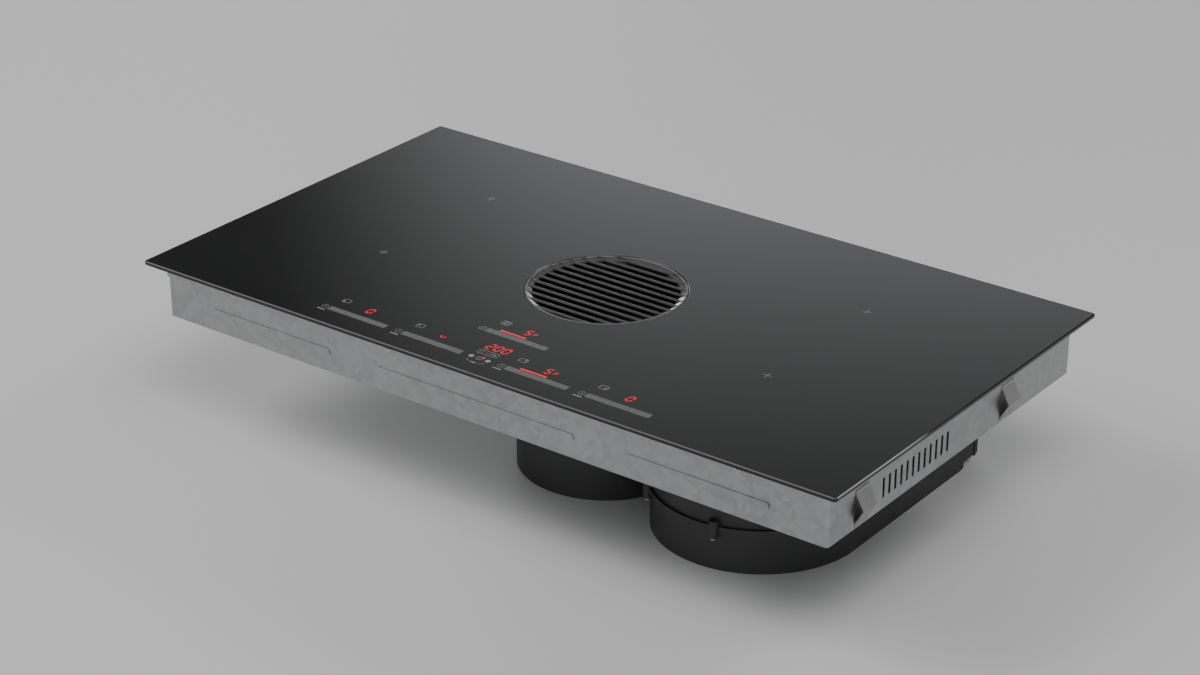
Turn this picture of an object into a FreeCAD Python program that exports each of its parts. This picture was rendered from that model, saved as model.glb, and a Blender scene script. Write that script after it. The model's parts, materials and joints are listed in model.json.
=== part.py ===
"""Built-in induction cooktop with a central downdraft extractor.

A 900 x 510 mm black glass-ceramic plate rests on the worktop on a foam seal.  A steel frame is bonded
under it, and a shallow steel case closes the electronics in.  Four round coils lie in pairs left and
right.  A round grille in the middle covers a grease filter and a liquid tray, which lift out upwards
through a collar.  Under the case a moulded pot, a plenum and a spiral blower housing lead the air to a
flat rectangular spigot at the back.

Frame: X to the right, Y to the back, Z up.  The origin is the centre of the worktop cut-out, on the
worktop's surface.  Units are millimetres.
"""
import FreeCAD, Part
import math
import os

V = FreeCAD.Vector

# ---------------------------------------------------------------- driving dimensions
GLASS_W, GLASS_D, GLASS_T = 900.0, 510.0, 4.0
GLASS_CORNER = 3.0
GLASS_BEVEL = 1.0
SEAL_T, SEAL_WIDTH, SEAL_SETBACK = 1.5, 7.0, 2.0
BODY_W, BODY_D = 868.0, 478.0           # skirt of the support frame, drops through the worktop's cut-out
CLIP_SPAN = 884.0                       # relaxed spring clips, outside to outside; the cut-out is 880 x 490
BASE_Z = -200.0                         # underside of the air unit

VENT = V(0, -8, 0)                      # centre of the air inlet
HOLE_R = 89.0                           # round hole in the glass
HOLE_BEVEL = 0.8
BLOWER = V(205, -25, 0)                 # axis of the extractor blower

ZONE_X = 255.0                          # coil centres, left and right of the middle
ZONE_FRONT_Y, ZONE_REAR_Y = -78.0, 112.0
COIL_R = 90.0

SIDES = {"left": -1, "right": 1}
ZONES = {
    "front_left": (-ZONE_X, ZONE_FRONT_Y),
    "rear_left": (-ZONE_X, ZONE_REAR_Y),
    "front_right": (ZONE_X, ZONE_FRONT_Y),
    "rear_right": (ZONE_X, ZONE_REAR_Y),
}

# ---------------------------------------------------------------- heights
GLASS_Z = SEAL_T                        # underside of the glass
GLASS_TOP = GLASS_Z + GLASS_T
BOND_T = 1.0                            # silicone bead between glass and frame
FRAME_TOP = GLASS_Z - BOND_T
FRAME_T = 1.2
SKIRT_Z = -14.0
CASE_TOP, CASE_BOTTOM, CASE_T = -1.5, -62.0, 1.0
CASE_FLOOR = CASE_BOTTOM + CASE_T
CASE_W, CASE_D, CASE_CORNER = BODY_W - 4.0, BODY_D - 4.0, 4.0
MICA_TOP, MICA_T = -1.0, 0.5
WINDING_T, FORMER_T, FERRITE_T, PLATE_T = 5.0, 2.0, 5.0, 1.5
WINDING_TOP = MICA_TOP - MICA_T
FORMER_TOP = WINDING_TOP - WINDING_T
FERRITE_TOP = FORMER_TOP - FORMER_T
PLATE_TOP = FERRITE_TOP - FERRITE_T
PCB_T, PCB_TOP = 1.6, -51.4

# ---------------------------------------------------------------- case
SLOT_W = 4.0                            # cooling slots
CASE_HOLE_R = 102.0                     # hole in the floor for the air inlet pot
BEAD_W, BEAD_PROUD = 8.0, 1.2           # stiffening beads pressed in the sheet
SCREW_Z = -8.0                          # screws that hold the case in the frame's skirt
SIDE_SCREWS = [(x, s * BODY_D / 2, V(0, s, 0)) for s in (-1, 1) for x in (-330, -110, 110, 330)]
SIDE_SCREWS += [(s * BODY_W / 2, y, V(s, 0, 0)) for s in (-1, 1) for y in (-150, 150)]
FAN_X, FAN_Y, FAN_SIZE, FAN_T = 392.0, -75.0, 70.0, 15.0
GLAND_X, GLAND_Z, GLAND_BORE_R = -392.0, -36.0, 6.5
POWER_BOARD = (252.0, 150.0, 300.0)     # distance from the middle, width and depth
SMALL_BOARDS = {                        # centre, width and depth
    "mains_filter_board": (-392.0, 70.0, 62.0, 130.0),
    "blower_driver_board": (392.0, 110.0, 62.0, 150.0),
}

# ---------------------------------------------------------------- touch panel
PANEL_X, PANEL_FRONT, PANEL_BACK = 224.0, -230.0, -176.0
TONGUE_X, TONGUE_BACK = 58.0, -126.0
PANEL_DEPTH, PANEL_WALL, TOUCH_PCB_Z = 14.0, 1.6, -5.6
PANEL_BOSSES = [(-200, -206), (-100, -206), (100, -206), (200, -206), (-44, -136), (44, -136)]
SLIDER_LENGTH, SLIDER_Y, FAN_SLIDER_Y = 79.0, -223.0, -164.5
SLIDER_X = (-166.0, -64.0, 73.5, 175.5)
FAN_SLIDER_X = 1.0
FIGURE_RISE = 19.5                      # a lit figure stands this far behind its slider

# ---------------------------------------------------------------- air inlet
GRILLE_R, GRILLE_TOP, GRILLE_FOOT = 88.2, GLASS_TOP - 0.5, -5.8
BAR_COUNT, BAR_PITCH, BAR_TOP, BAR_BOTTOM = 13, 12.85, GRILLE_TOP - 0.5, -4.0
BAR_W, BAR_FOOT_W, BAR_CROWN = 4.0, 2.4, 1.3     # bars taper to the foot and have a rounded crown
CONE_R, CONE_Z = 80.2, 2.6              # foot of the sloping ledge inside the grille's rim
LEDGE_Z = -7.0
COLLAR_R, COLLAR_WALL = 88.8, 2.2
FILTER_SEAT_Z, FILTER_FOOT = -16.0, -112.0
FILTER_R = 74.0
BAIL_R, BAIL_PIN_R, BAIL_Z = 2.0, 1.5, -11.2    # wire handle of the filter, and its pivots
TRAY_R, TRAY_TOP, TRAY_FOOT = 74.0, -126.0, BASE_Z + 5.0

# ---------------------------------------------------------------- air unit under the case
WALL = 2.5
POT_R = 98.5
PLENUM_TOP, PLENUM_BOTTOM, PLENUM_R = -64.5, -100.0, 104.0
FLANGE_R = 114.0
TAB_ANGLES = (-60, 0, 60)               # screw tabs round the plenum's end, seen from the blower's axis
SCROLL_SPLIT = -150.0
FLOOR_Z = BASE_Z + 2.5                  # moulded floors stand on ribs this much above the base plane
SPIRAL_START, SPIRAL_R0, SPIRAL_R1 = 75.0, 88.0, 122.0
NOSE_R = 8.0                            # cut-off nose between spiral and exit
EXIT_LEFT, EXIT_BACK, EXIT_STRAIGHT = 107.0, 205.0, 180.0
EAR_R, EAR_OFFSET = 5.0, 6.5            # screw ears round the split of the housing
LIP_W = 6.0                             # lip round the split of the housing
SPIGOT_W, SPIGOT_H, SPIGOT_END = 222.0, 89.0, 240.0
MOTOR_FEET = (46.0, (90, 210, 330))     # radius and angles of the motor's screws
IMPELLER_R, IMPELLER_EYE_R, BLADE_COUNT = 80.0, 63.0, 32

parts = {}


# ---------------------------------------------------------------- small helpers
def box(x0, y0, z0, x1, y1, z1):
    return Part.makeBox(x1 - x0, y1 - y0, z1 - z0, V(x0, y0, z0))


def cyl(r, z0, z1, at=V()):
    return Part.makeCylinder(r, z1 - z0, V(at.x, at.y, z0))


def ring(outer, inner, z0, z1, at=V()):
    return cyl(outer, z0, z1, at).cut(cyl(inner, z0, z1, at))


def rounded_wire(w, d, r, cx=0.0, cy=0.0):
    """Rectangle w x d about (cx, cy) with rounded corners."""
    hw, hd = w / 2, d / 2
    edges = []
    corners = [(hw - r, hd - r, 0), (-hw + r, hd - r, 90), (-hw + r, -hd + r, 180), (hw - r, -hd + r, 270)]
    for i, (x, y, start) in enumerate(corners):
        on = [polar(r, start + a, V(cx + x, cy + y, 0)) for a in (0, 45, 90)]
        edges.append(Part.Arc(*on).toShape())
        nx, ny, ns = corners[(i + 1) % 4]
        edges.append(Part.LineSegment(on[2], polar(r, ns, V(cx + nx, cy + ny, 0))).toShape())
    return Part.Wire(edges)


def prism(wire, z0, z1):
    solid = Part.Face(wire).extrude(V(0, 0, z1 - z0))
    solid.translate(V(0, 0, z0))
    return solid


def slab(w, d, r, z0, z1, cx=0.0, cy=0.0):
    return prism(rounded_wire(w, d, r, cx, cy), z0, z1)


def polygon(points):
    return Part.makePolygon(points + [points[0]])


def revolve(profile, at=V()):
    """Turn (radius, z) points about the vertical axis through at."""
    face = Part.Face(polygon([V(r, 0, z) for r, z in profile]))
    solid = face.revolve(V(), V(0, 0, 1), 360)
    solid.translate(V(at.x, at.y, 0))
    return solid


def fuse(shapes):
    return shapes[0].multiFuse(shapes[1:]).removeSplitter() if len(shapes) > 1 else shapes[0]


def cut(shape, tools):
    return shape.cut(tools) if tools else shape


def polar(r, degrees, at=V()):
    a = math.radians(degrees)
    return V(at.x + r * math.cos(a), at.y + r * math.sin(a), 0)


def group(shapes):
    return Part.makeCompound(shapes)


def mirrored(shape):
    return shape.mirror(V(), V(1, 0, 0))


def turned(shape, degrees, at):
    moved = shape.copy()
    moved.rotate(V(at.x, at.y, 0), V(0, 0, 1), degrees)
    return moved


# ---------------------------------------------------------------- glass, seal and frame
def make_glass():
    plate = slab(GLASS_W, GLASS_D, GLASS_CORNER, GLASS_Z, GLASS_TOP)
    outer = [e for e in plate.Edges if min(v.Z for v in e.Vertexes) > GLASS_TOP - 0.01]
    plate = plate.makeChamfer(GLASS_BEVEL, outer)
    start = V(VENT.x, VENT.y, GLASS_TOP - HOLE_BEVEL)
    flare = Part.makeCone(HOLE_R, HOLE_R + 2 * HOLE_BEVEL, 2 * HOLE_BEVEL, start)
    parts["glass_top"] = cut(plate, [cyl(HOLE_R, GLASS_Z - 1, GLASS_TOP + 1, VENT), flare])


def rim(w, d, corner, width, z0, z1):
    """Flat rectangular ring, width wide, whose outside is w x d."""
    inside = slab(w - 2 * width, d - 2 * width, max(corner - width, 0.5), z0 - 1, z1 + 1)
    return slab(w, d, corner, z0, z1).cut(inside)


def make_seal_and_frame():
    inset = 2 * SEAL_SETBACK
    parts["worktop_seal"] = rim(GLASS_W - inset, GLASS_D - inset, GLASS_CORNER, SEAL_WIDTH, 0, SEAL_T)
    parts["glass_adhesive"] = rim(BODY_W - 2, BODY_D - 2, 4, 6, FRAME_TOP, GLASS_Z)
    flange = rim(BODY_W, BODY_D, 5, 8, FRAME_TOP - FRAME_T, FRAME_TOP)
    skirt = rim(BODY_W, BODY_D, 5, FRAME_T, SKIRT_Z, FRAME_TOP)
    holes = [screw_hole(*s, radius=2.1) for s in SIDE_SCREWS]
    parts["support_frame"] = cut(fuse([flange, skirt]), holes)


def screw_hole(x, y, outward, radius):
    start = V(x, y, SCREW_Z) - outward * 8
    return Part.makeCylinder(radius, 16, start, outward)


def side_screw(x, y, outward):
    head = Part.makeCylinder(3.4, 2.0, V(x, y, SCREW_Z), outward)
    cross = [box(-0.45, -2, 1.0, 0.45, 2, 3), box(-2, -0.45, 1.0, 2, 0.45, 3)]
    shank = Part.makeCylinder(1.6, 7.0, V(x, y, SCREW_Z) - outward * 7, outward)
    turn = FreeCAD.Rotation(V(0, 0, 1), outward)
    for c in cross:
        c.Placement = FreeCAD.Placement(V(x, y, SCREW_Z), turn)
    return cut(fuse([head, shank]), cross)


# ---------------------------------------------------------------- steel case
def slot_z(x, y, length, along_x=True):
    """Rounded slot through the case floor."""
    w, d = (length, SLOT_W) if along_x else (SLOT_W, length)
    return slab(w, d, SLOT_W / 2 - 0.01, CASE_BOTTOM - 5, CASE_FLOOR + 5, x, y)


def case_openings():
    """Everything cut out of the case's sheets."""
    tools = [cyl(CASE_HOLE_R, CASE_BOTTOM - 1, CASE_FLOOR + 1, VENT)]
    tools += [screw_hole(*s, radius=1.7) for s in SIDE_SCREWS]
    tools += [cyl(2.2, CASE_BOTTOM - 1, CASE_FLOOR + 1, p) for p in flange_screw_points()]
    tools.append(Part.makeCylinder(9.1, 20, V(GLAND_X, CASE_D / 2 - 10, GLAND_Z), V(0, 1, 0)))
    for side in SIDES.values():
        for row in range(-3, 4):        # intake grille under each cooling fan, trimmed to a round field
            across = row * 2 * SLOT_W
            half = math.sqrt((FAN_SIZE / 2 - 4) ** 2 - across ** 2)
            tools.append(slot_z(side * FAN_X, FAN_Y + across, 2 * half))
        for row in range(9):            # warm air leaves through the floor at the back
            tools.append(slot_z(side * (175 + row * 20), 205, 34, along_x=False))
        for k in range(12):             # and through upright slots in the end walls
            y, x = -140 + k * 11, side * CASE_W / 2
            tools.append(box(x - 5, y, -50, x + 5, y + SLOT_W, -28))
    return tools


def make_case():
    """Shallow steel case, spot-welded from a floor, two long walls and two end walls with rounded corners."""
    tools = case_openings()
    floor_beads, wall_beads = pressed_beads()
    floor = slab(CASE_W, CASE_D, CASE_CORNER, CASE_BOTTOM, CASE_FLOOR)
    walls = rim(CASE_W, CASE_D, CASE_CORNER, CASE_T, CASE_FLOOR, CASE_TOP)
    straight = CASE_W / 2 - CASE_CORNER
    long_walls = walls.common(box(-straight, -CASE_D, CASE_FLOOR, straight, CASE_D, CASE_TOP))
    right_end = walls.common(box(straight, -CASE_D, CASE_FLOOR, CASE_W, CASE_D, CASE_TOP))
    sheets = [fuse([cut(floor, tools)] + floor_beads)]
    for side in SIDES.values():
        near = [wall for wall in long_walls.Solids if wall.CenterOfMass.y * side > 0]
        sheets.append(fuse([cut(near[0], tools)] + wall_beads[side]))
    sheets += [cut(end, tools) for end in (right_end, mirrored(right_end))]
    parts["bottom_case"] = group(sheets)
    parts["case_screws"] = group([side_screw(*s) for s in SIDE_SCREWS])


def pressed_beads():
    """Stiffening beads pressed outwards: those of the floor, and those of the front and back walls."""
    end_r = BEAD_W / 2 - 0.1
    floor_beads = [slab(BEAD_W, 250, end_r, CASE_BOTTOM - BEAD_PROUD, CASE_BOTTOM, side * x, 0)
                   for side in SIDES.values() for x in (185, 345)]
    wall_beads = {}
    for side in SIDES.values():
        wall_beads[side] = []
        for x, length in ((-280, 170), (0, 260), (280, 170)):
            bead = slab(length, BEAD_W, end_r, 0, BEAD_PROUD)
            bead.rotate(V(), V(1, 0, 0), -90 * side)
            bead.translate(V(x, side * CASE_D / 2, -39))
            wall_beads[side].append(bead)
    return floor_beads, wall_beads


def make_clips():
    """Spring clips on the end walls, which grip the sides of the cut-out."""
    t, width = 0.8, 24.0
    x, bulge = CASE_W / 2, CLIP_SPAN / 2
    outline = [(x, -56), (bulge - t, -40), (x, -24), (x, -20), (x + t, -20), (x + t, -23.6), (bulge, -40),
               (x + t, -56.4), (x + t, -60), (x, -60)]
    clips = []
    for y in (-190, 90):
        face = Part.Face(polygon([V(px, y, pz) for px, pz in outline]))
        clip = face.extrude(V(0, width, 0))
        clips += [clip, mirrored(clip)]
    parts["worktop_clips"] = group(clips)


# ---------------------------------------------------------------- induction coils
def make_coils():
    turns, core_r = 15, 24.0
    pitch = (COIL_R - core_r) / turns
    arms = 8
    for name, (x, y) in ZONES.items():
        at = V(x, y, 0)
        profile = [(core_r, FORMER_TOP)]
        for k in range(turns):          # each turn of litz wire shows as a ridge
            r = core_r + k * pitch
            profile += [(r, WINDING_TOP - 1.2), (r + 0.25 * pitch, WINDING_TOP - 0.2),
                        (r + 0.5 * pitch, WINDING_TOP), (r + 0.75 * pitch, WINDING_TOP - 0.2)]
        profile += [(COIL_R, WINDING_TOP - 1.2), (COIL_R, FORMER_TOP)]
        parts["coil_winding_" + name] = revolve(profile, at)
        disc = cyl(COIL_R + 1.5, FERRITE_TOP, FORMER_TOP, at)
        hub = cyl(12, PLATE_TOP, WINDING_TOP - 1, at)
        window = slab(30, 12, 5, FERRITE_TOP - 1, FORMER_TOP + 1, x + 58, y)
        windows = [turned(window, (k + 0.5) * 360 / arms, at) for k in range(arms)]
        former = cut(fuse([disc, hub]), windows + [cyl(6, PLATE_TOP - 1, GLASS_Z, at)])
        parts["coil_former_" + name] = former
    bars, sheets = [], []
    for side_name, side in SIDES.items():
        centres = [V(x, y, 0) for x, y in ZONES.values() if x * side > 0]
        for at in centres:
            bar = box(at.x + 24, at.y - 7, PLATE_TOP, at.x + 84, at.y + 7, FERRITE_TOP)
            bars += [turned(bar, k * 360 / arms, at) for k in range(arms)]
        middle_y = (ZONE_FRONT_Y + ZONE_REAR_Y) / 2
        size = (190.0, 378.0, 6.0)
        sheet = slab(*size, MICA_TOP - MICA_T, MICA_TOP, side * ZONE_X, middle_y)
        sheets.append(cut(sheet, [cyl(8, -5, 0, p) for p in centres]))
        plate = slab(*size, PLATE_TOP - PLATE_T, PLATE_TOP, side * ZONE_X, middle_y)
        vents = [slab(20, 60, 9, PLATE_TOP - 5, PLATE_TOP + 5, side * ZONE_X + dx, middle_y)
                 for dx in (-50, 0, 50)]
        vents += [cyl(7, PLATE_TOP - 5, PLATE_TOP + 5, p) for p in centres]
        parts["coil_plate_" + side_name] = cut(plate, vents)
    parts["ferrite_bars"] = group(bars)
    parts["mica_sheets"] = group(sheets)
    parts["coil_sensors"] = group([
        fuse([cyl(5, PLATE_TOP - 3, GLASS_Z - 0.1, V(x, y, 0)),
              cyl(8.5, PLATE_TOP - 4, PLATE_TOP - PLATE_T, V(x, y, 0))]) for x, y in ZONES.values()])


def make_carrier_springs():
    """Bent strips between the case floor and the coil plates, which press the coils up to the glass."""
    t, width = 0.8, 14.0
    top, bottom = PLATE_TOP - PLATE_T, CASE_FLOOR
    outline = [(-10, bottom), (4, bottom), (4 + t, bottom + t), (-6, top - t), (8, top - t), (8, top),
               (-7, top), (-7 - t, top - t), (3.6, bottom + t), (-10, bottom + t)]
    springs = []
    for side in SIDES.values():
        for x in (170, 340):
            for y in (-165, 185):
                face = Part.Face(polygon([V(side * x + px, y, pz) for px, pz in outline]))
                springs.append(face.extrude(V(0, width, 0)))
    parts["carrier_springs"] = group(springs)


# ---------------------------------------------------------------- electronics
def make_power_boards():
    posts = []
    for side_name, side in SIDES.items():
        offset, w, d = POWER_BOARD
        cx, cy = side * offset, 0.0
        holes = [V(cx + sx * (w / 2 - 6), cy + sy * (d / 2 - 6), 0) for sx in (-1, 1) for sy in (-1, 1)]
        board = slab(w, d, 2, PCB_TOP - PCB_T, PCB_TOP, cx, cy)
        parts["power_board_" + side_name] = cut(board, [cyl(1.7, PCB_TOP - 5, PCB_TOP + 5, p) for p in holes])
        posts += [fuse([cyl(3.5, CASE_FLOOR, PCB_TOP - PCB_T, p),
                        cyl(1.6, PCB_TOP - PCB_T - 1, PCB_TOP + 2, p)]) for p in holes]
        base = box(cx - 30, cy - 60, PCB_TOP, cx + 30, cy + 60, PCB_TOP + 4)
        fins = [box(cx - 30 + k * 7.25, cy - 60, PCB_TOP + 3, cx - 30 + k * 7.25 + 2, cy + 60, PCB_TOP + 27)
                for k in range(9)]
        parts["heatsink_" + side_name] = fuse([base] + fins)
        small = [box(cx + side * 42 - 9, y - 14, PCB_TOP, cx + side * 42 + 9, y + 14, PCB_TOP + 18)
                 for y in (-90, -50, -10, 30)]
        small += [cyl(9, PCB_TOP, PCB_TOP + 22, V(cx - side * 50, y, 0)) for y in (-95, -70, 70, 95)]
        small += [ring(13, 6, PCB_TOP, PCB_TOP + 12, V(cx, y, 0)) for y in (-110, 110)]
        parts["board_components_" + side_name] = group(small)
    for x, y, w, d in SMALL_BOARDS.values():
        posts += [cyl(3.5, CASE_FLOOR, PCB_TOP - PCB_T, V(x + sx * (w / 2 - 6), y + sy * (d / 2 - 6), 0))
                  for sx in (-1, 1) for sy in (-1, 1)]
    parts["board_posts"] = group(posts)


def make_small_boards():
    """Mains filter and blower driver, each a board with its parts."""
    for name, (x, y, w, d) in SMALL_BOARDS.items():
        board = slab(w, d, 2, PCB_TOP - PCB_T, PCB_TOP, x, y)
        choke = ring(17, 8, PCB_TOP, PCB_TOP + 18, V(x, y - 30, 0))
        cans = [cyl(8, PCB_TOP, PCB_TOP + 24, V(x + dx, y + 22, 0)) for dx in (-15, 15)]
        brick = box(x - 14, y + 38, PCB_TOP, x + 14, y + 56, PCB_TOP + 16)
        parts[name] = group([board, choke, brick] + cans)


def make_cooling_fans():
    hub_r, bore_r = 12.0, 2.05
    top = CASE_FLOOR + FAN_T
    for side_name, side in SIDES.items():
        at = V(side * FAN_X, FAN_Y, 0)
        square = slab(FAN_SIZE, FAN_SIZE, 5, CASE_FLOOR, top, at.x, at.y)
        frame = square.cut(cyl(33, CASE_FLOOR - 1, top + 1, at))
        arm = box(at.x + hub_r - 2, at.y - 2, CASE_FLOOR, at.x + 34, at.y + 2, CASE_FLOOR + 2)
        arms = [turned(arm, k * 120 + 20, at) for k in range(3)]
        hub = cyl(hub_r, CASE_FLOOR, CASE_FLOOR + 3.5, at)
        corners = [V(at.x + sx * 30, at.y + sy * 30, 0) for sx in (-1, 1) for sy in (-1, 1)]
        frame = fuse([frame, hub] + arms)
        tools = [cyl(2.2, CASE_FLOOR - 1, top + 1, p) for p in corners]
        tools.append(cyl(bore_r, CASE_FLOOR + 1, top, at))
        parts["cooling_fan_frame_" + side_name] = cut(frame, tools)
        rotor = [cyl(14, CASE_FLOOR + 4.5, top - 1, at), cyl(2.0, CASE_FLOOR + 1.2, CASE_FLOOR + 5, at)]
        for k in range(7):              # blades, pitched 35 degrees
            blade = Part.makeBox(19, 15, 1.2, V(12.5, -7.5, -0.6))
            blade.rotate(V(), V(1, 0, 0), 35)
            blade.rotate(V(), V(0, 0, 1), k * 360 / 7)
            blade.translate(V(at.x, at.y, CASE_FLOOR + 9.3))
            rotor.append(blade)
        parts["cooling_fan_rotor_" + side_name] = fuse(rotor)


def make_mains_inlet():
    """Five-way terminal block, and the gland that the mains cable comes in through."""
    ways, way_pitch, way_w = 5, 10.4, 8.0
    block = box(GLAND_X - 28, 170, CASE_FLOOR, GLAND_X + 28, 200, CASE_FLOOR + 28)
    lefts = [GLAND_X - 25 + k * way_pitch for k in range(ways)]
    wells = [box(left, 172, CASE_FLOOR + 16, left + way_w, 198, CASE_FLOOR + 29) for left in lefts]
    screws = [cyl(2.6, CASE_FLOOR + 12, CASE_FLOOR + 20, V(left + way_w / 2, y, 0))
              for left in lefts for y in (179, 191)]
    parts["terminal_block"] = fuse([cut(block, wells)] + screws)
    wall = CASE_D / 2

    def tube(r, y0, y1):
        return Part.makeCylinder(r, y1 - y0, V(GLAND_X, y0, GLAND_Z), V(0, 1, 0))

    body = fuse([tube(12, wall - 1 - CASE_T - 8, wall - CASE_T), tube(9, wall - CASE_T - 1, wall + 1),
                 tube(12, wall, wall + 3), tube(10.5, wall + 2, wall + 6.5)])
    parts["cable_gland"] = body.cut(tube(GLAND_BORE_R, 200, wall + 10))


# ---------------------------------------------------------------- touch controls
def panel_shape(inset, z0, z1):
    main = box(-PANEL_X + inset, PANEL_FRONT + inset, z0, PANEL_X - inset, PANEL_BACK - inset, z1)
    tongue = box(-TONGUE_X + inset, PANEL_BACK - inset - 1, z0, TONGUE_X - inset, TONGUE_BACK - inset, z1)
    return fuse([main, tongue])


def make_touch_panel():
    """Tray with the touch board, the conductive pads under the sliders, and the lit displays."""
    floor = PANEL_WALL - PANEL_DEPTH
    tray = panel_shape(0, -PANEL_DEPTH, 0.2).cut(panel_shape(PANEL_WALL, floor, 1))
    bosses = [cyl(3, floor - 0.1, TOUCH_PCB_Z, V(x, y, 0)) for x, y in PANEL_BOSSES]
    parts["touch_board_tray"] = fuse([tray] + bosses)
    top = TOUCH_PCB_Z + PCB_T
    parts["touch_board"] = panel_shape(2.4, TOUCH_PCB_Z, top)
    sliders = [(x, SLIDER_Y) for x in SLIDER_X] + [(FAN_SLIDER_X, FAN_SLIDER_Y)]
    half, touch_z, lens_z = SLIDER_LENGTH / 2, GLASS_Z - 0.1, GLASS_Z - 0.6
    pads = [box(x - half, max(y - 5, PANEL_FRONT + 3), top, x + half, y + 5, touch_z) for x, y in sliders]
    pads += [cyl(4.5, top, touch_z, V(x, SLIDER_Y + 1, 0)) for x in (-12, -1, 10)]
    parts["touch_pads"] = group(pads)
    figures = [(x, y + FIGURE_RISE) for x, y in sliders]
    shown = [box(x - 12, y - 8, top, x + 12, y + 8, lens_z) for x, y in figures]
    shown.append(box(-17, -201.5, top, 17, -185.5, lens_z))
    shown += [box(x - 30, y + 5.5, top, x + 10, y + 9, lens_z) for x, y in sliders]
    parts["led_displays"] = group(shown)


# ---------------------------------------------------------------- air inlet
def grille_bar(y):
    """Bar along X: a tapering section with an arched crown."""
    start, shoulder = -90.0, BAR_TOP - BAR_CROWN
    corners = [V(start, y + BAR_W / 2, shoulder), V(start, y + BAR_FOOT_W / 2, BAR_BOTTOM),
               V(start, y - BAR_FOOT_W / 2, BAR_BOTTOM), V(start, y - BAR_W / 2, shoulder)]
    edges = [Part.LineSegment(a, b).toShape() for a, b in zip(corners, corners[1:])]
    edges.append(Part.Arc(corners[-1], V(start, y, BAR_TOP), corners[0]).toShape())
    return Part.Face(Part.Wire(edges)).extrude(V(-2 * start, 0, 0))


def make_grille():
    """Flat rim with a sloping ledge inside it, and parallel bars tied by two cross bars."""
    lip_r = GRILLE_R - 2.0
    rim_profile = [(GRILLE_R, GRILLE_TOP), (GRILLE_R, GRILLE_FOOT), (85.0, GRILLE_FOOT), (85.0, -1.5),
                   (CONE_R, -3.0), (CONE_R, CONE_Z), (lip_r, GRILLE_TOP - 0.4), (lip_r, GRILLE_TOP)]
    rim_solid = revolve(rim_profile, VENT)
    bars = [grille_bar(VENT.y + (k - (BAR_COUNT - 1) / 2) * BAR_PITCH) for k in range(BAR_COUNT)]
    ties = [box(x - 1.5, VENT.y - 85, BAR_BOTTOM, x + 1.5, VENT.y + 85, BAR_BOTTOM + 2.5) for x in (-34, 34)]
    inside, reach, above = CONE_R + 0.5, GRILLE_R - 1.0, BAR_TOP + 1
    envelope = revolve([(0, BAR_BOTTOM - 1), (inside, BAR_BOTTOM - 1), (inside, 0), (reach, 3.5),
                        (reach, above), (0, above)], VENT)
    parts["vent_grille"] = fuse([rim_solid] + [b.common(envelope) for b in bars + ties])
    parts["grille_pads"] = group([cyl(1.6, LEDGE_Z, GRILLE_FOOT, polar(86.6, a, VENT))
                                  for a in (45, 135, 225, 315)])


def make_collar():
    """Ring under the glass. Its upper ledge carries the grille and its lower ledge the filter."""
    wall_r = COLLAR_R + COLLAR_WALL
    profile = [(106, 0.5), (106, -2), (wall_r, -2), (wall_r, LEDGE_Z - 2.5), (84, LEDGE_Z - 2.5),
               (84, FILTER_SEAT_Z - 2), (77, FILTER_SEAT_Z - 2), (77, FILTER_SEAT_Z), (82, FILTER_SEAT_Z),
               (82, LEDGE_Z), (COLLAR_R, LEDGE_Z), (COLLAR_R, 0.5)]
    parts["vent_collar"] = revolve(profile, VENT)
    parts["collar_seal"] = ring(104, 93, 0.5, GLASS_Z, VENT)
    parts["pot_gasket"] = ring(100.5, 94, -3, -2, VENT)


def make_filter():
    """Basket that hangs in the collar, the sleeve of mesh in it, and the wire handle on two lugs."""
    r, top = FILTER_R, FILTER_SEAT_Z + 2.5
    rim_ring = ring(80.5, 66, FILTER_SEAT_Z, top, VENT)
    post = box(VENT.x + r - 4, VENT.y - 4, FILTER_FOOT, VENT.x + r, VENT.y + 4, FILTER_SEAT_Z + 1)
    posts = [turned(post, k * 45 + 22.5, VENT) for k in range(8)]
    pan = revolve([(0, FILTER_FOOT - 1.5), (r, FILTER_FOOT), (r, FILTER_FOOT + 6), (r - 2, FILTER_FOOT + 6),
                   (r - 2, FILTER_FOOT + 2.5), (0, FILTER_FOOT + 1)], VENT)
    bands = [ring(r, r - 2, z, z + 4, VENT) for z in (-78, -46)]
    lugs = [box(VENT.x + x - 3, VENT.y - 4, top - 0.5, VENT.x + x + 3, VENT.y + 4, BAIL_Z + 3)
            for x in (-73, 73)]
    across = V(1, 0, 0)
    pivot = Part.makeCylinder(BAIL_PIN_R + 0.05, 160, V(VENT.x - 80, VENT.y, BAIL_Z), across)
    parts["filter_frame"] = cut(fuse([rim_ring, pan] + posts + bands + lugs), [pivot])
    parts["filter_mesh"] = ring(69.8, 68.6, FILTER_FOOT + 2.6, FILTER_SEAT_Z - 0.02, VENT)
    reach, half, bend = 33.0, 66.5, 12.0
    corners = [V(VENT.x + x, VENT.y + y, BAIL_Z)
               for x, y in ((-half, 0), (-half, -reach), (half, -reach), (half, 0))]
    pins = [Part.makeCylinder(BAIL_PIN_R, 11, V(VENT.x + x, VENT.y, BAIL_Z), across)
            for x in (-half - 9.5, half - 1.5)]
    knuckles = [Part.makeSphere(BAIL_R, V(VENT.x + x, VENT.y, BAIL_Z)) for x in (-half, half)]
    parts["filter_handle"] = fuse([lead(corners, BAIL_R, bend)] + knuckles + pins)


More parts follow.
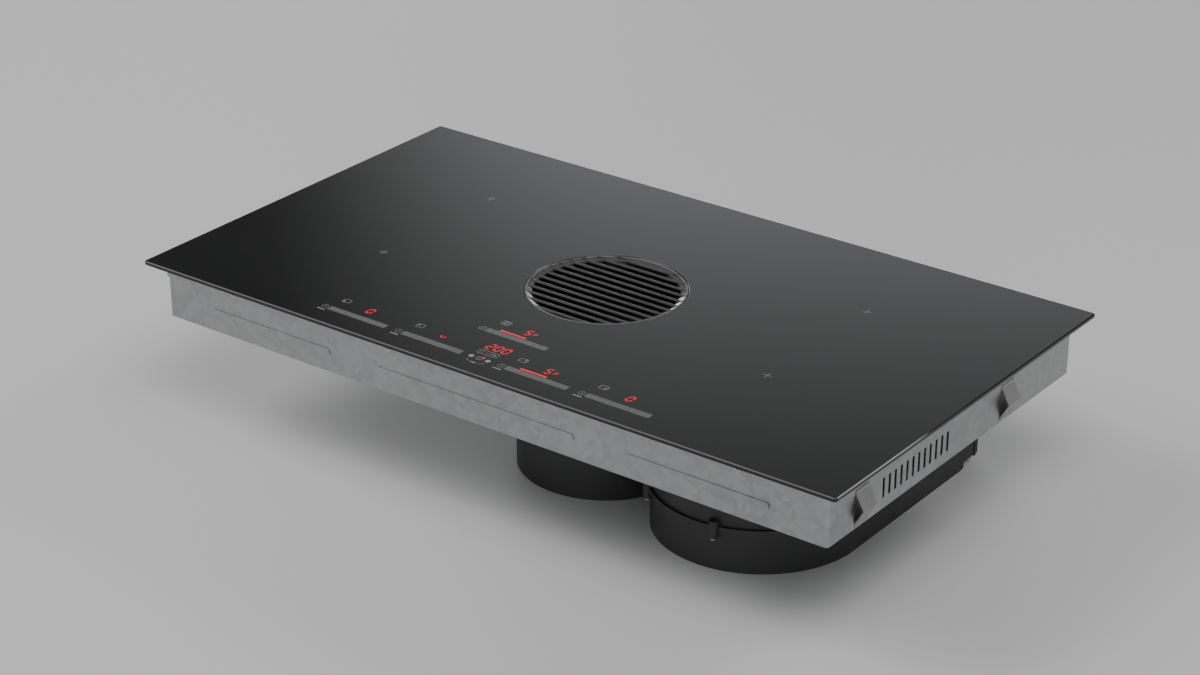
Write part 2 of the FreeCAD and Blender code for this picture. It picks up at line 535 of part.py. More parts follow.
def make_tray():
    """Cup for spilt liquid, with a strap across its mouth to lift it by."""
    r, top, foot = TRAY_R, TRAY_TOP, TRAY_FOOT
    cup = revolve([(0, foot), (r - 8, foot), (r, foot + 8), (r, top), (r + 1.5, top), (r + 1.5, top + 2),
                   (r - 2, top + 2), (r - 2, foot + 9), (r - 9, foot + 2), (0, foot + 2)], VENT)
    half_strap = [(73, top), (73, top - 12), (71, top - 12), (70, top - 2)]
    outline = half_strap + [(-y, z) for y, z in reversed(half_strap)]
    section = Part.Face(polygon([V(VENT.x - 5, VENT.y + y, z) for y, z in outline]))
    strap = section.extrude(V(10, 0, 0)).common(cyl(r - 1, foot, top, VENT))
    parts["liquid_tray"] = fuse([cup, strap])


# ---------------------------------------------------------------- air unit under the case
def flange_screw_points():
    """Screws up into the case floor: round the pot, and through three tabs at the blower's end."""
    pot = [polar(108.5, a, VENT) for a in (80, 130, 180, 230, 280)]
    return pot + [polar(PLENUM_R + 7, a, BLOWER) for a in TAB_ANGLES]


def spiral_r(degrees):
    share = (degrees - SPIRAL_START) / (360.0 - SPIRAL_START)
    return SPIRAL_R0 + (SPIRAL_R1 - SPIRAL_R0) * share


def scroll_wire(off):
    """Outline of the blower's air space, grown outwards by off."""
    nose = polar(SPIRAL_R0 + NOSE_R, SPIRAL_START, BLOWER)
    nose_r = NOSE_R - off
    steps = 12
    spiral = []
    for k in range(steps + 1):
        a = SPIRAL_START + (360.0 - SPIRAL_START) * k / steps
        spiral.append(polar(spiral_r(a) + off, a, BLOWER))
    curve = Part.BSplineCurve()
    curve.interpolate(spiral)
    right = BLOWER.x + SPIRAL_R1 + off
    corner = V(EXIT_LEFT - off, EXIT_STRAIGHT + 0.4 * off, 0)
    gap = nose - corner                 # the slanting side touches the nose from above
    reach = math.hypot(gap.x, gap.y)
    lean = math.degrees(math.atan2(gap.y, gap.x)) + math.degrees(math.asin(nose_r / reach)) + 90
    touch = polar(nose_r, lean, nose)
    foot = SPIRAL_START + 180
    middle = polar(nose_r, (lean + foot) / 2 + 180, nose)
    corners = [spiral[-1], V(right, EXIT_BACK, 0), V(EXIT_LEFT - off, EXIT_BACK, 0), corner, touch]
    edges = [curve.toShape()] + [Part.LineSegment(a, b).toShape() for a, b in zip(corners, corners[1:])]
    edges.append(Part.Arc(touch, middle, spiral[0]).toShape())
    return Part.Wire(edges)


def hull_wire(a, ra, b, rb):
    """Belt round two circles."""
    gap = b - a
    heading = math.degrees(math.atan2(gap.y, gap.x))
    spread = math.degrees(math.acos((ra - rb) / math.hypot(gap.x, gap.y)))
    a_top, a_low = polar(ra, heading + spread, a), polar(ra, heading - spread, a)
    b_top, b_low = polar(rb, heading + spread, b), polar(rb, heading - spread, b)
    b_end, a_end = polar(rb, heading, b), polar(ra, heading + 180, a)
    return Part.Wire([Part.LineSegment(a_low, b_low).toShape(), Part.Arc(b_low, b_end, b_top).toShape(),
                      Part.LineSegment(b_top, a_top).toShape(), Part.Arc(a_top, a_end, a_low).toShape()])


def make_inlet_pot():
    """Pot round filter and tray, moulded in one with the plenum that leads to the blower."""
    outer = cyl(POT_R, BASE_Z, -3, VENT)
    flange = cyl(FLANGE_R, PLENUM_TOP, CASE_BOTTOM, VENT)
    plenum = prism(hull_wire(VENT, POT_R, BLOWER, PLENUM_R), PLENUM_BOTTOM, PLENUM_TOP)
    duct = hull_wire(VENT, POT_R - WALL, BLOWER, PLENUM_R - WALL)
    hollow = prism(duct, PLENUM_BOTTOM - 1, PLENUM_TOP - WALL)
    hollow = hollow.cut(cyl(POT_R, PLENUM_BOTTOM - 2, PLENUM_TOP, VENT))
    inside = cyl(POT_R - WALL, FLOOR_Z + WALL, 0, VENT)
    window = box(60, VENT.y - 66, PLENUM_BOTTOM + 2, POT_R + 8, VENT.y + 66, PLENUM_TOP - WALL - 1)
    hole_tools = [cyl(1.7, PLENUM_TOP - 1, CASE_BOTTOM + 1, p) for p in flange_screw_points()]
    under = cyl(POT_R - WALL, BASE_Z - 1, FLOOR_Z, VENT)
    tab = box(BLOWER.x + 85, BLOWER.y - 8, PLENUM_TOP, BLOWER.x + PLENUM_R + 13, BLOWER.y + 8, CASE_BOTTOM)
    tabs = [turned(tab, a, BLOWER) for a in TAB_ANGLES]
    body = cut(fuse([outer, flange, plenum] + tabs), [hollow, inside, window, under] + hole_tools)
    rib = box(VENT.x + 32, VENT.y - 1.5, BASE_Z, VENT.x + POT_R - 1, VENT.y + 1.5, FLOOR_Z + 1)
    ribs = [ring(34, 31, BASE_Z, FLOOR_Z + 1, VENT)] + [turned(rib, k * 45, VENT) for k in range(8)]
    parts["inlet_pot"] = fuse([body] + ribs)


def ears():
    """Places of the screw ears round the split of the scroll housing."""
    places = [polar(spiral_r(a) + WALL + EAR_OFFSET - 2, a, BLOWER) for a in (112, 230, 285, 340)]
    edge = BLOWER.x + SPIRAL_R1 + WALL + EAR_OFFSET - 2
    return places + [V(edge, 60, 0), V(edge, 170, 0), V(EXIT_LEFT - WALL - EAR_OFFSET + 2, 192, 0)]


def make_scroll_cover():
    """Upper half of the blower housing, with the bellmouth eye that the air comes in through."""
    lid = prism(hull_wire(VENT, POT_R, BLOWER, PLENUM_R), PLENUM_BOTTOM - WALL, PLENUM_BOTTOM)
    sides = prism(scroll_wire(WALL), SCROLL_SPLIT, PLENUM_BOTTOM)
    lip = prism(scroll_wire(LIP_W), SCROLL_SPLIT, SCROLL_SPLIT + WALL)
    bosses = [cyl(EAR_R, SCROLL_SPLIT, SCROLL_SPLIT + 10, p) for p in ears()]
    air_space = prism(scroll_wire(0), SCROLL_SPLIT - 1, PLENUM_BOTTOM - WALL)
    walls = fuse([sides, lid, lip] + bosses).cut(air_space)
    tools = [cyl(POT_R + 0.4, BASE_Z, 0, VENT), cyl(62, PLENUM_BOTTOM - WALL - 1, PLENUM_BOTTOM + 1, BLOWER)]
    tools += [cyl(1.5, SCROLL_SPLIT - 1, SCROLL_SPLIT + 8, p) for p in ears()]
    eye = revolve([(58, -112), (60, -112), (60.6, -106), (64, -103), (64, -101), (61, -101), (58.6, -105)],
                  BLOWER)
    parts["scroll_cover"] = fuse([cut(walls, tools), eye])


def make_scroll_base():
    """Lower half of the blower housing, on ribs that also carry the motor's floor."""
    inner = scroll_wire(0)
    sides = prism(scroll_wire(WALL), BASE_Z, SCROLL_SPLIT)
    lip = prism(scroll_wire(LIP_W), SCROLL_SPLIT - WALL, SCROLL_SPLIT)
    bosses = [cyl(EAR_R, SCROLL_SPLIT - 10, SCROLL_SPLIT, p) for p in ears()]
    tools = [prism(inner, FLOOR_Z + WALL, SCROLL_SPLIT + 1), prism(inner, BASE_Z - 1, FLOOR_Z)]
    tools += [cyl(1.7, SCROLL_SPLIT - 11, SCROLL_SPLIT + 1, p) for p in ears()]
    shell = cut(fuse([sides, lip] + bosses), tools)
    rib_top, right = FLOOR_Z + 1, BLOWER.x + SPIRAL_R1 + 2
    spoke = box(BLOWER.x + 36, BLOWER.y - 1.5, BASE_Z, BLOWER.x + 130, BLOWER.y + 1.5, rib_top)
    ribs = [ring(r, r - 3, BASE_Z, rib_top, BLOWER) for r in (38, 66)]
    ribs += [turned(spoke, k * 30 + 15, BLOWER) for k in range(12)]
    ribs += [box(EXIT_LEFT - 2, y - 1.5, BASE_Z, right, y + 1.5, rib_top) for y in (115, 150, 185)]
    field = prism(inner, BASE_Z, rib_top)
    lower = fuse([shell] + [rib.common(field) for rib in ribs])
    parts["scroll_base"] = cut(lower, [cyl(2.2, BASE_Z - 1, FLOOR_Z + 5, p) for p in motor_feet()])


def make_air_unit_screws():
    hangers = [pan_screw(p, PLENUM_TOP, 1.6, 7) for p in flange_screw_points()]
    parts["air_unit_screws"] = group(hangers + [pan_screw(p, SCROLL_SPLIT - 10, 1.4, 16) for p in ears()])


def motor_feet():
    radius, angles = MOTOR_FEET
    return [polar(radius, a, BLOWER) for a in angles]


def pan_screw(at, seat_z, shank_r, length):
    """Screw driven upwards from below, its head under seat_z."""
    head_r, head_h = 3.2, 2.2
    cross = [box(at.x - 2, at.y - 0.4, seat_z - head_h - 1, at.x + 2, at.y + 0.4, seat_z - 1.2),
             box(at.x - 0.4, at.y - 2, seat_z - head_h - 1, at.x + 0.4, at.y + 2, seat_z - 1.2)]
    head = cyl(head_r, seat_z - head_h, seat_z, at)
    return cut(fuse([head, cyl(shank_r, seat_z - 0.5, seat_z + length, at)]), cross)


def make_spigot():
    """Flat rectangular duct connection with a retaining bead near its mouth."""
    z_mid = (PLENUM_BOTTOM + FLOOR_Z) / 2
    x_mid = (EXIT_LEFT + BLOWER.x + SPIRAL_R1) / 2
    wall = 2.0

    def sleeve(grow, y0, y1):
        half_w, half_h = SPIGOT_W / 2 + grow, SPIGOT_H / 2 + grow
        return box(x_mid - half_w, y0, z_mid - half_h, x_mid + half_w, y1, z_mid + half_h)

    half = SPIGOT_W / 2 + 1.5
    flange = box(x_mid - half, EXIT_BACK, BASE_Z + 1, x_mid + half, EXIT_BACK + 3, PLENUM_BOTTOM)
    tube, bead = sleeve(0, EXIT_BACK, SPIGOT_END), sleeve(1, SPIGOT_END - 8, SPIGOT_END - 5)
    parts["outlet_spigot"] = fuse([tube, flange, bead]).cut(sleeve(-wall, EXIT_BACK - 1, SPIGOT_END + 1))


# ---------------------------------------------------------------- blower rotor and motor
def blower_blade(low, high):
    """Forward-curved blade between two arcs, at the impeller's first place."""
    inner, outer, shift = V(IMPELLER_EYE_R, 0, low), V(IMPELLER_R - 0.6, 6, low), V(0, 1.2, 0)
    bulge = V((IMPELLER_EYE_R + IMPELLER_R) / 2 + 1.5, 0.2, low)
    loop = Part.Wire([Part.Arc(inner, bulge, outer).toShape(),
                      Part.LineSegment(outer, outer + shift).toShape(),
                      Part.Arc(outer + shift, bulge + shift, inner + shift).toShape(),
                      Part.LineSegment(inner + shift, inner).toShape()])
    return Part.Face(loop).extrude(V(0, 0, high - low))


def make_blower():
    """Impeller on its hat-shaped hub, with the motor inside the hat."""
    deck = FLOOR_Z + WALL
    low, high, hat_top = deck + 12, -115.0, -148.0
    hat = revolve([(4, hat_top - 3), (46, hat_top - 3), (46, low), (IMPELLER_R, low), (IMPELLER_R, low + 2),
                   (48.5, low + 2), (48.5, hat_top), (11, hat_top), (9, hat_top + 8), (4, hat_top + 8)],
                  BLOWER)
    crown = ring(IMPELLER_R, IMPELLER_R - 8, high - 2, high, BLOWER)
    first = blower_blade(low + 1, high - 0.5)
    first.translate(V(BLOWER.x, BLOWER.y, 0))
    envelope = cyl(IMPELLER_R, low, high, BLOWER)
    blades = [turned(first, k * 360 / BLADE_COUNT, BLOWER).common(envelope) for k in range(BLADE_COUNT)]
    parts["blower_impeller"] = fuse([hat, crown] + blades)
    parts["motor_shaft"] = cyl(4, deck + 6, hat_top + 12, BLOWER)
    motor = fuse([cyl(40, deck + 1, hat_top - 6, BLOWER), cyl(52, deck + 1, deck + 4, BLOWER)])
    holes = [cyl(4.05, deck + 4, hat_top, BLOWER)] + [cyl(2.6, deck, deck + 5, p) for p in motor_feet()]
    parts["blower_motor"] = cut(motor, holes)
    parts["motor_bushes"] = group([ring(5, 2.3, deck, deck + 1, p) for p in motor_feet()])
    parts["motor_screws"] = group([pan_screw(p, FLOOR_Z, 1.9, 9) for p in motor_feet()])


# ---------------------------------------------------------------- wiring inside the case
def lead(points, radius, bend):
    """Round cable through the points, with a tangent arc of the given radius at each inner one."""
    edges, start = [], points[0]
    for before, here, after in zip(points, points[1:], points[2:]):
        a, b = (before - here).normalize(), (after - here).normalize()
        half = math.acos(max(-1.0, min(1.0, a.dot(b)))) / 2
        back = bend / math.tan(half)
        toward = (a + b).normalize()
        centre = here + toward * (bend / math.sin(half))
        p, q = here + a * back, here + b * back
        edges += [Part.LineSegment(start, p).toShape(), Part.Arc(p, centre - toward * bend, q).toShape()]
        start = q
    edges.append(Part.LineSegment(start, points[-1]).toShape())
    path = Part.Wire(edges)
    ahead = (points[1] - points[0]).normalize()
    section = Part.Wire([Part.Circle(points[0], ahead, radius).toShape()])
    return path.makePipeShell([section], True, False)


def make_wiring():
    z = CASE_FLOOR + 3.2
    links = [lead([V(-176, 120 + 12 * k, z), V(-120, 140 + 10 * k, z), V(120, 140 + 10 * k, z),
                   V(176, 120 + 12 * k, z)], 2.4, 30) for k in range(2)]
    panel = lead([V(110, -190, -14.1), V(110, -190, -46), V(140, -176, z), V(176, -100, z)], 2.0, 8)
    parts["wiring_looms"] = group(links + [panel])


# ---------------------------------------------------------------- build
def main():
    make_glass()
    make_seal_and_frame()
    make_case()
    make_clips()
    make_coils()
    make_carrier_springs()
    make_power_boards()
    make_small_boards()
    make_cooling_fans()
    make_mains_inlet()
    make_touch_panel()
    make_grille()
    make_collar()
    make_filter()
    make_tray()
    make_inlet_pot()
    make_scroll_cover()
    make_scroll_base()
    make_air_unit_screws()
    make_spigot()
    make_blower()
    make_wiring()
    os.makedirs("parts", exist_ok=True)
    for name, shape in parts.items():
        shape.exportStep(f"parts/{name}.step")
        flag = "" if shape.isValid() else "  INVALID"
        print(f"{name:28s} solids {len(shape.Solids):3d} volume {shape.Volume / 1000:9.2f} cm3{flag}")
    print(len(parts), "nodes")


main()
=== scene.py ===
"""Looks of the built-in induction hob with its downdraft extractor.

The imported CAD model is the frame.  This script gives every part a procedural material, prints the marks and
lit digits on the glass, weaves the filter's mesh, and sets the floor, the light and the camera.
Places on the glass are in millimetres from the glass's centre, x to the right and y to the back.
"""
import json
import math

import bmesh
import bpy
from mathutils import Matrix, Vector


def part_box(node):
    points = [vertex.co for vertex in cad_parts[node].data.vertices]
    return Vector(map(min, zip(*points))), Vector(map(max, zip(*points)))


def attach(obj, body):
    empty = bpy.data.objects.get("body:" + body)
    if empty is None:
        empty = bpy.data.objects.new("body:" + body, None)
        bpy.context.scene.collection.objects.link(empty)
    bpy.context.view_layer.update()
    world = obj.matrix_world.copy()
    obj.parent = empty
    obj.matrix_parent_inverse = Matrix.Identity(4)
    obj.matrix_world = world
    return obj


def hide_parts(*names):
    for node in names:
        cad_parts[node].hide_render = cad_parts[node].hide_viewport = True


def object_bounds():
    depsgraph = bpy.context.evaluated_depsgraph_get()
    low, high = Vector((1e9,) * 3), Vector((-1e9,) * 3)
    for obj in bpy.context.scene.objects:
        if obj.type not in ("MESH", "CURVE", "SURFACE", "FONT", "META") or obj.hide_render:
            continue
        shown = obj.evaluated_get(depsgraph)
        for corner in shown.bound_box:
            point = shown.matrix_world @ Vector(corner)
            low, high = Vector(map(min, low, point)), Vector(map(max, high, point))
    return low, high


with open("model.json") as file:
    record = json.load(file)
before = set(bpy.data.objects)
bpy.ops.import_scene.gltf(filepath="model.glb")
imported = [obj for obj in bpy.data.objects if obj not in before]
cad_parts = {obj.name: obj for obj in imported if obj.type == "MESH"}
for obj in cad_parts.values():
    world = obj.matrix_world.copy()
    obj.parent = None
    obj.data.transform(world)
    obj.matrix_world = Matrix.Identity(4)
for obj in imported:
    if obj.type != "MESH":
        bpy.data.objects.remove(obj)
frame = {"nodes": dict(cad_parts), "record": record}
CAD_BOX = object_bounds()
NODES = frame["nodes"]
MM = 0.001

GLASS_LOW, GLASS_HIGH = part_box("glass_top")
GLASS_TOP = GLASS_HIGH.z
GLASS_CENTRE = (GLASS_LOW + GLASS_HIGH) / 2
FLOOR_Z = CAD_BOX[0].z

VENT = (0.0, -0.008, 0.0)               # axis of the air inlet
GROUND_R, GROUND_FADE = 0.0903, 0.0002  # where the ground edge of the glass's hole ends, and how softly
LEDGE_R = 0.0797                        # the sloping ledge of the grille's rim begins here
BAR_PITCH, BAR_HALF_W = 0.01285, 0.0021
PAINTED_SHADE_FOOT, PAINTED_SHADE_TOP = 0.0026, 0.0045  # heights between which painted shade takes the bars from dark up to their crown's grey


def add_node(tree, kind, inputs=(), **settings):
    """New shader node. An input is a value, or the output socket that feeds it."""
    made = tree.nodes.new("ShaderNode" + kind)
    for key, value in settings.items():
        setattr(made, key, value)
    for key, value in dict(inputs).items():
        if isinstance(value, bpy.types.NodeSocket):
            tree.links.new(value, made.inputs[key])
        else:
            made.inputs[key].default_value = value
    return made


def add_object(name, data):
    made = bpy.data.objects.new(name, data)
    bpy.context.scene.collection.objects.link(made)
    return made


# ---------------------------------------------------------------- node materials
class Paint:
    """A node material with a Principled shader, and short calls for the nodes that feed it."""

    def __init__(self, name, **sockets):
        self.material = bpy.data.materials.new(name)
        self.material.use_nodes = True
        self.tree = self.material.node_tree
        self.shader = self.tree.nodes["Principled BSDF"]
        self.coordinates = self.tree.nodes.new("ShaderNodeTexCoord").outputs["Object"]
        self.set(**sockets)

    def set(self, **sockets):
        for key, value in sockets.items():
            self.shader.inputs[key.replace("_", " ")].default_value = value
        return self

    def node(self, kind, inputs=(), **settings):
        return add_node(self.tree, kind, inputs, **settings)

    def stretched(self, scale):
        return self.node("Mapping", {"Vector": self.coordinates, "Scale": scale}).outputs["Vector"]

    def noise(self, scale, detail=3.0, stretch=None):
        vector = self.stretched(stretch) if stretch else self.coordinates
        return self.node("TexNoise", {"Vector": vector, "Scale": scale, "Detail": detail}).outputs["Fac"]

    def cells(self, scale, output="Color"):
        return self.node("TexVoronoi", {"Vector": self.coordinates, "Scale": scale}).outputs[output]

    def radius_from(self, axis):
        """Distance from the upright axis through the point axis."""
        outward = self.node("VectorMath", {0: self.coordinates, 1: axis}, operation="SUBTRACT").outputs[0]
        flat = self.node("VectorMath", {0: outward, 1: (1.0, 1.0, 0.0)}, operation="MULTIPLY").outputs[0]
        return self.node("VectorMath", {0: flat}, operation="LENGTH").outputs["Value"]

    def math(self, operation, a, b=0.0):
        return self.node("Math", {0: a, 1: b}, operation=operation).outputs[0]

    def span(self, value, low, high, start=0.0, end=1.0):
        """value, from start to end, as low to high."""
        inputs = {"Value": value, "From Min": start, "From Max": end, "To Min": low, "To Max": high}
        return self.node("MapRange", inputs).outputs["Result"]

    def between(self, value, dark, light):
        """Colour that runs from dark to light as value goes from 0 to 1."""
        ramp = self.node("ValToRGB", {"Fac": value})
        for stop, colour in zip(ramp.color_ramp.elements, (dark, light)):
            stop.color = (*colour, 1.0)
        return ramp.outputs["Color"]

    def feed(self, socket, value):
        self.tree.links.new(value, self.shader.inputs[socket])
        return self

    def bump(self, height, distance, strength=1.0):
        made = self.node("Bump", {"Height": height, "Distance": distance, "Strength": strength})
        return self.feed("Normal", made.outputs["Normal"])


def grey(value, warm=0.0):
    return (value * (1 + warm), value, value * (1 - warm))


def make_black_glass():
    """Polished glass-ceramic. The edge of the round hole is ground, so it is duller."""
    paint = Paint("black_glass_ceramic", IOR=1.52)
    speck = paint.cells(900.0, "Distance")
    paint.feed("Base Color", paint.between(paint.span(speck, 0.0, 1.0, 0.1, 0.7), grey(0.0035), grey(0.0022)))
    polish = paint.span(paint.noise(7.0, 5.0, (1.0, 2.2, 1.0)), 0.035, 0.075, 0.35, 0.7)
    ground = paint.span(paint.radius_from(VENT), 1.0, 0.0, GROUND_R - GROUND_FADE, GROUND_R)
    paint.feed("Roughness", paint.node("Mix", {"Factor": ground, "A": polish, "B": 0.3}).outputs["Result"])
    return paint.material


def make_plastic(name, value, grain, rough=(0.42, 0.6), depth=0.00006, warm=0.0):
    """Moulded plastic with an eroded texture of the given grain (cells per metre)."""
    paint = Paint(name)
    cloud = paint.noise(35.0, 4.0)
    paint.feed("Base Color", paint.between(cloud, grey(value * 0.8, warm), grey(value * 1.25, warm)))
    fine = paint.noise(grain, 2.0)
    paint.feed("Roughness", paint.span(cloud, rough[0], rough[1], 0.3, 0.7))
    return paint.bump(fine, depth, 0.6).material


def make_galvanised(name="galvanised_steel", value=0.42):
    """Sheet steel with zinc spangle."""
    paint = Paint(name, Metallic=1.0)
    flake = paint.node("SeparateColor", {"Color": paint.cells(120.0)}).outputs["Red"]
    haze = paint.noise(9.0, 5.0)
    mixed = paint.math("ADD", paint.math("MULTIPLY", flake, 0.45), paint.math("MULTIPLY", haze, 0.55))
    paint.feed("Base Color", paint.between(mixed, grey(value * 0.72, -0.012), grey(value * 1.2, -0.008)))
    paint.feed("Roughness", paint.span(mixed, 0.33, 0.52, 0.2, 0.8))
    return paint.bump(mixed, 0.00004, 0.5).material


def make_brushed(name, value, stretch=(2.0, 90.0, 90.0), rough=(0.24, 0.42), warm=0.0):
    """Metal with fine lines along the direction of least stretch."""
    paint = Paint(name, Metallic=1.0)
    lines = paint.noise(22.0, 6.0, stretch)
    paint.feed("Base Color", paint.between(lines, grey(value * 0.8, warm), grey(value * 1.15, warm)))
    paint.feed("Roughness", paint.span(lines, rough[0], rough[1], 0.3, 0.7))
    return paint.bump(lines, 0.00002, 0.5).material


def make_foam():
    paint = Paint("seal_foam", Roughness=0.85)
    pores = paint.cells(1600.0, "Distance")
    paint.feed("Base Color", paint.between(pores, grey(0.006), grey(0.03)))
    return paint.bump(pores, 0.0001, 0.8).material


def make_copper():
    """Stranded, enamelled winding: rings of twisted litz wire."""
    paint = Paint("copper_litz", Metallic=0.85)
    strands = paint.noise(260.0, 3.0)
    paint.feed("Base Color", paint.between(strands, (0.28, 0.1, 0.035), (0.72, 0.33, 0.14)))
    paint.feed("Roughness", paint.span(strands, 0.28, 0.45))
    return paint.bump(strands, 0.0003, 0.7).material


def make_circuit(name):
    """Solder mask over copper tracks, seen as paler lines on green."""
    paint = Paint(name, Roughness=0.32)
    tracks = paint.node("TexBrick", {"Vector": paint.coordinates, "Scale": 60.0, "Mortar Size": 0.06},
                        offset=0.35, squash=0.6).outputs["Fac"]
    mottle = paint.noise(30.0, 3.0)
    mixed = paint.math("ADD", paint.math("MULTIPLY", tracks, 0.6), paint.math("MULTIPLY", mottle, 0.4))
    paint.feed("Base Color", paint.between(mixed, (0.004, 0.045, 0.018), (0.02, 0.14, 0.06)))
    return paint.bump(tracks, 0.00004, 0.6).material


def make_grille_paint():
    """Satin grey on the crowns of the bars, with painted shade darkening their sides, and a glossier ledge
    between their ends.
    """
    paint = Paint("grille_satin", IOR=1.5)
    place = paint.node("SeparateXYZ", {"Vector": paint.coordinates}).outputs
    off_bar = paint.math("PINGPONG", paint.math("SUBTRACT", place["Y"], VENT[1]), BAR_PITCH / 2)
    between_bars = paint.math("GREATER_THAN", off_bar, BAR_HALF_W)
    on_rim = paint.math("GREATER_THAN", paint.radius_from(VENT), LEDGE_R)
    ledge = paint.math("MULTIPLY", on_rim, between_bars)
    cloud = paint.noise(30.0, 4.0)
    # Painted shade: the bars' colour darkens from the crown's grey to near black further down, where shade
    # falls between the bars.
    height = paint.span(place["Z"], 0.0, 1.0, PAINTED_SHADE_FOOT, PAINTED_SHADE_TOP)
    painted_shade_level = paint.math("MULTIPLY", height, paint.span(cloud, 0.85, 1.0))
    satin = paint.span(cloud, 0.36, 0.46, 0.3, 0.7)
    body = paint.between(painted_shade_level, grey(0.0015), grey(0.034))
    # A colour mix takes its factor at socket 0, its colours at 6 and 7, and gives its result at output 2.
    colour = paint.node("Mix", {0: ledge, 6: body, 7: (*grey(0.16), 1.0)}, data_type="RGBA")
    paint.feed("Base Color", colour.outputs[2])
    paint.feed("Metallic", paint.math("MULTIPLY", ledge, 0.5))
    paint.feed("Roughness", paint.node("Mix", {"Factor": ledge, "A": satin, "B": 0.15}).outputs["Result"])
    return paint.bump(paint.noise(1400.0, 2.0), 0.00003, 0.35).material


def make_ink(name, value):
    paint = Paint(name, Roughness=0.5)
    cloud = paint.noise(900.0, 2.0)
    return paint.feed("Base Color", paint.between(cloud, grey(value * 0.85), grey(value * 1.15))).material


def make_led():
    """Lit segments. The light is a little uneven, as it is behind a real diffuser."""
    paint = Paint("lit_segments", Roughness=0.4)
    cloud = paint.noise(600.0, 2.0)
    paint.feed("Base Color", paint.between(cloud, (0.08, 0.001, 0.002), (0.12, 0.002, 0.003)))
    paint.feed("Emission Color", paint.between(cloud, (0.85, 0.002, 0.01), (1.0, 0.004, 0.016)))
    return paint.set(Emission_Strength=1.35, Specular_IOR_Level=0.1).material


MATERIALS = {
    "glass_ceramic": make_black_glass(),
    "seal_foam": make_foam(),
    "silicone": make_plastic("silicone", 0.05, 500.0, (0.3, 0.45)),
    "galvanised_steel": make_galvanised(),
    "zinc_screws": make_brushed("zinc_screws", 0.55, (60.0, 60.0, 60.0), (0.2, 0.4)),
    "spring_steel": make_brushed("spring_steel", 0.36, warm=0.02),
    "copper_litz": make_copper(),
    "former_plastic": make_plastic("former_plastic", 0.5, 700.0, warm=0.05),
    "ferrite": make_plastic("ferrite", 0.03, 900.0, (0.5, 0.7)),
    "mica": make_plastic("mica", 0.45, 120.0, (0.35, 0.6), warm=0.12),
    "aluminium_sheet": make_brushed("aluminium_sheet", 0.68),
    "pcb_laminate": make_circuit("pcb_laminate"),
    "components": make_plastic("components", 0.03, 600.0, (0.35, 0.5)),
    "display_lens": make_plastic("display_lens", 0.02, 900.0, (0.15, 0.3), warm=0.5),
    "black_plastic": make_plastic("black_plastic", 0.022, 1200.0),
    "grille_metal": make_grille_paint(),
    "filter_steel": make_brushed("filter_steel", 0.5, (40.0, 40.0, 4.0)),
    "tray_plastic": make_plastic("tray_plastic", 0.12, 900.0, (0.3, 0.45)),
    "air_unit_plastic": make_plastic("air_unit_plastic", 0.03, 1500.0),
    "impeller_plastic": make_plastic("impeller_plastic", 0.05, 900.0),
    "motor_steel": make_galvanised("motor_steel", 0.3),
    "shaft_steel": make_brushed("shaft_steel", 0.55, (60.0, 60.0, 2.0), (0.15, 0.25)),
    "cable_jacket": make_plastic("cable_jacket", 0.3, 800.0, (0.35, 0.5)),
}
INK, SIGN_INK, LED = make_ink("printed_ink", 0.19), make_ink("sign_ink", 0.3), make_led()


def dress_nodes():
    """Every CAD node takes the material of its slot."""
    for part in frame["record"]["subparts"]:
        node = NODES[part["node"]]
        node.data.materials.clear()
        node.data.materials.append(MATERIALS[part["material_slot"]])


# ---------------------------------------------------------------- marks on the glass
INK_T = 0.03                            # thickness of the printed layer
INK_LIFT = 0.01                         # gap under it, so that it doesn't lie in the glass's own surface
LEAN = math.tan(math.radians(9))        # slant of the lit digits


